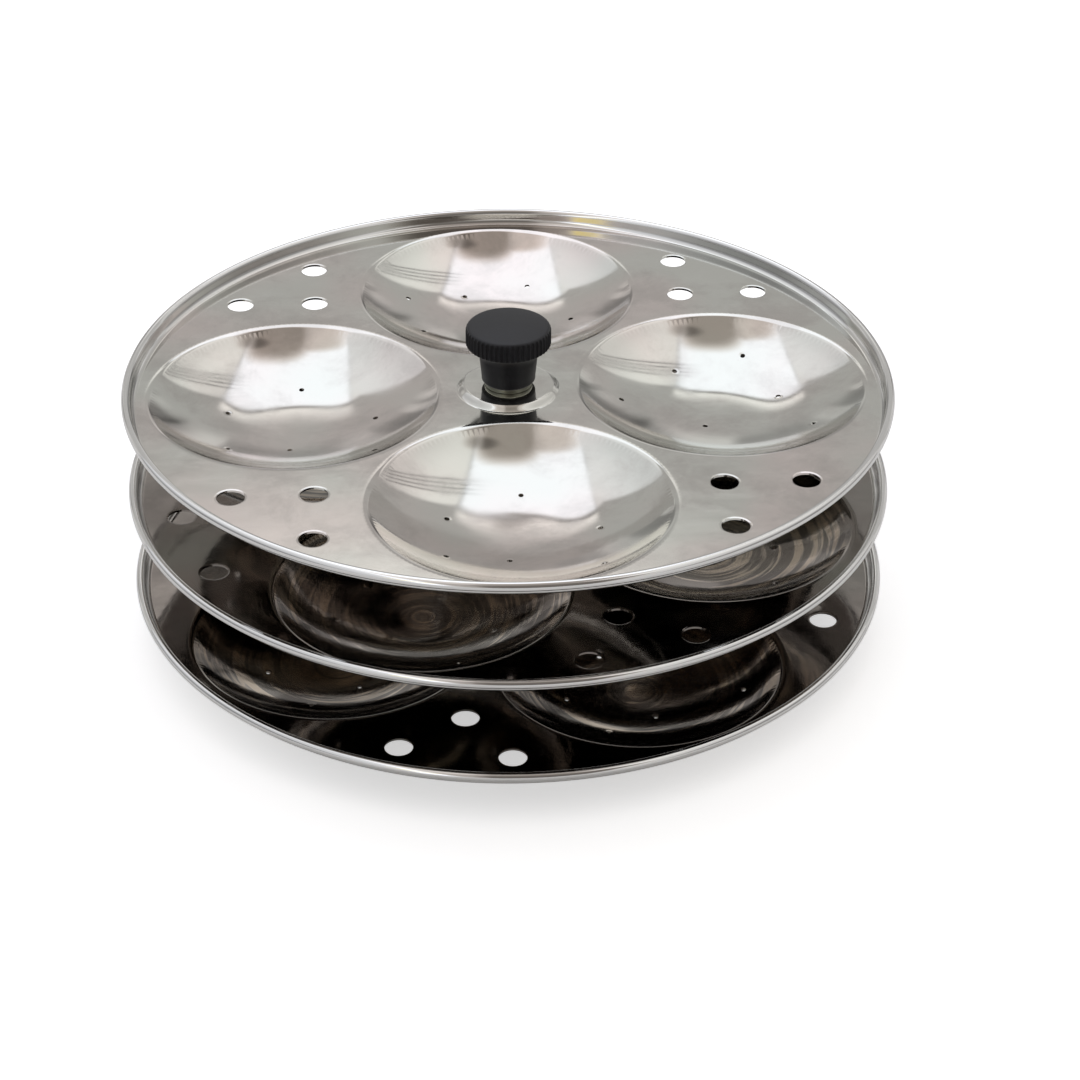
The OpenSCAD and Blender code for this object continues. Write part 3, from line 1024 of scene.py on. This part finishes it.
LAMP_ALONG = ((-63, -61), (-57, -55))

TENT_TONE = (1.0, 0.985, 0.975)
TENT_LEFT_TONE = (0.985, 0.995, 1.035)
PANE_TONE = (0.97, 1.0, 1.08)
CARD_TONE = (1.0, 0.9, 0.83)
LAMP_TONE = (1.0, 0.87, 0.4)


def far_edge(g, across):
    """How far along the tent's far edge lies: a shallow arch with almost straight feet."""
    arch = ARCH_TOP - ARCH_BEND * (across - ARCH_MIDDLE) * (across - ARCH_MIDDLE)
    return g.math("MAXIMUM", arch, ARCH_FOOT + ARCH_FOOT_SLOPE * across)


def tent_light(g, across, along):
    """The tent's level, and a mask of its pane.

    The sides are dimmer than the pane, dark seams part them, and slats cross the pane's right
    edge as bent lines."""
    right = PANE_RIGHT - PANE_RIGHT_SLOPE * along - across
    left = PANE_LEFT - PANE_LEFT_SLOPE * along + across
    pane = right.ramp(-1, 1) * left.ramp(-1, 1)
    reach = abs(across)
    side = SIDE_LEVEL - 0.3 * reach.ramp(20, 45) - 0.55 * reach.ramp(45, 75)
    side = side - 0.1 * (1 - along.ramp(0, 20))
    seams = (1 - abs(right).ramp(0.2, 1.2)) + 0.6 * (1 - abs(left).ramp(0.2, 1.0))
    seams = seams * along.ramp(*SEAM_START)
    slant = along - SLAT_BEND * (across - SLAT_MIDDLE) * (across - SLAT_MIDDLE)
    slats = g.math("SINE", slant * (2 * math.pi / SLAT_PITCH)).ramp(0.1, 0.8)
    slats = slats * slant.band(*SLATS_ALONG) * across.band(*SLATS_ACROSS)
    light = side.towards(PANE_LEVEL, pane)
    return light * (1 - 0.3 * seams) * (1 - 0.75 * slats), pane


def room_light(g, heading, across, along, from_zenith):
    """The dimmer room: it darkens low down at the sides, and has upright strips near the floor.

    A heading is a vector of length 1, so a strip is about STRIP_W thousandths of it wide."""
    sides = 0.65 * across.ramp(7, 20) + 0.25 * (-across).ramp(7, 20)
    light = ROOM_LEVEL * (1 - along.ramp(63, 76) * sides)
    strips = g.noise(STRIP_W, 2.0, 0.5, heading).ramp(0.44, 0.56)
    return light * (1 + from_zenith.ramp(66, 76) * (0.7 * strips - 0.3))


def dark_card(g, across, along):
    """Masks of the card: its core, and the core with a fainter, wider card at its back.

    Each is a rounded box: a ramp over the sum of powers of the distances from its middle. The
    core is wider and further right at its near end."""
    near = 1 - along.ramp(*NEAR_END)
    beside = abs(across - CARD_MIDDLE - NEAR_SHIFT * near) / (CARD_HALF_W + NEAR_WIDER * near)
    beyond = g.math("MAXIMUM", along - CARD_START, 0)
    core = 1 - (beside ** 3 + (beyond / CARD_REACH) ** 3).ramp(*CARD_SOFT)
    back = (abs(across) / BACK_HALF_W) ** 4 + (beyond / BACK_REACH) ** 4
    return core, g.math("MAXIMUM", core, 0.8 * (1 - back.ramp(*CARD_SOFT)))


def surround():
    """Lights the room by direction, and shows the eye plain white.

    A direction's heading is its level part over that part's length, which is kept above 0."""
    world = bpy.data.worlds.new("surround")
    bpy.context.scene.world = world
    g = Graph(world)
    x, y, z = g.split(g.add("ShaderNodeTexCoord", out="Generated"))
    from_zenith = g.math("ARCCOSINE", z) * (180 / math.pi)
    aside = g.math("MAXIMUM", (x * x + y * y) ** 0.5, LEAST_ASIDE)
    heading = g.add("ShaderNodeCombineXYZ", None, {"X": x / aside, "Y": y / aside})
    across = x / aside * from_zenith
    along = y / aside * from_zenith

    # Past the tent's far edge comes a thin dark line and, in line with the pane, a bright one
    past = along - far_edge(g, across)
    tent = (-past).ramp(*TENT_EDGE)
    light, pane = tent_light(g, across, along)
    room = room_light(g, heading, across, along, from_zenith)
    room = room + 0.8 * pane * past.band((1.5, 2.5), (3, 8))
    room = room - (0.1 + 0.15 * pane) * (1 - past.ramp(1, 2))
    light = room.towards(light, tent)

    # The card is paler outside its core, and darker towards its near end and in one spot
    core, card = dark_card(g, across, along)
    spot_across = (across - SPOT_MIDDLE[0]) / SPOT_HALF[0]
    spot_along = (along - SPOT_MIDDLE[1]) / SPOT_HALF[1]
    spot = 1 - (spot_across ** 2 + spot_along ** 2).ramp(0.2, 1.4)
    shade = (0.4 + 0.6 * along.ramp(-50, -10)) * (1 - 0.6 * spot)
    light = light.towards((CARD_LEVEL + 0.3 * (1 - core)) * shade, card)
    lamp = across.band(*LAMP_ACROSS) * along.band(*LAMP_ALONG)
    light = light.towards(LAMP_LEVEL, lamp)

    tone = g.mix((-across).ramp(12, 22) * tent, TENT_TONE, TENT_LEFT_TONE)
    tone = g.mix(pane * tent, tone, PANE_TONE)
    tone = g.mix(card, tone, CARD_TONE)
    tone = g.mix(lamp, tone, LAMP_TONE)
    soft = g.add("ShaderNodeBackground", None, {"Color": tone, "Strength": light})
    white = g.add("ShaderNodeBackground", None, {"Color": (1, 1, 1, 1), "Strength": 1.0})
    seen = g.add("ShaderNodeLightPath", out="Is Camera Ray")
    g.finish(g.add("ShaderNodeMixShader", None, [seen, soft, white]), "ShaderNodeOutputWorld")


FLOOR_SIZE = 12.0
FLOOR_COLOUR = (0.8, 0.8, 0.8, 1)
FLOOR_GLOW = 0.55
MIRRORED_GLOW = 0.15


def floor():
    """A pale matt floor: a share of plain white is added to what the eye and the metal see."""
    half = FLOOR_SIZE / 2
    mesh = bpy.data.meshes.new("floor")
    mesh.from_pydata([(-half, -half, 0), (half, -half, 0), (half, half, 0), (-half, half, 0)],
                     [], [(0, 1, 2, 3)])
    ground = bpy.data.objects.new("floor", mesh)
    bpy.context.scene.collection.objects.link(ground)
    material, g = new_material("pale_floor")
    matt = g.add("ShaderNodeBsdfDiffuse", None, {"Color": FLOOR_COLOUR})
    seen = g.add("ShaderNodeLightPath", out="Is Camera Ray")
    glossy = g.add("ShaderNodeLightPath", out="Is Glossy Ray")
    glow = g.add("ShaderNodeEmission", None, {
        "Color": (1, 1, 1, 1),
        "Strength": FLOOR_GLOW * (seen + MIRRORED_GLOW * glossy),
    })
    g.finish(g.add("ShaderNodeAddShader", None, [matt, glow]))
    ground.data.materials.append(material)


camera()
surround()
floor()

bpy.context.scene.view_settings.view_transform = "Standard"
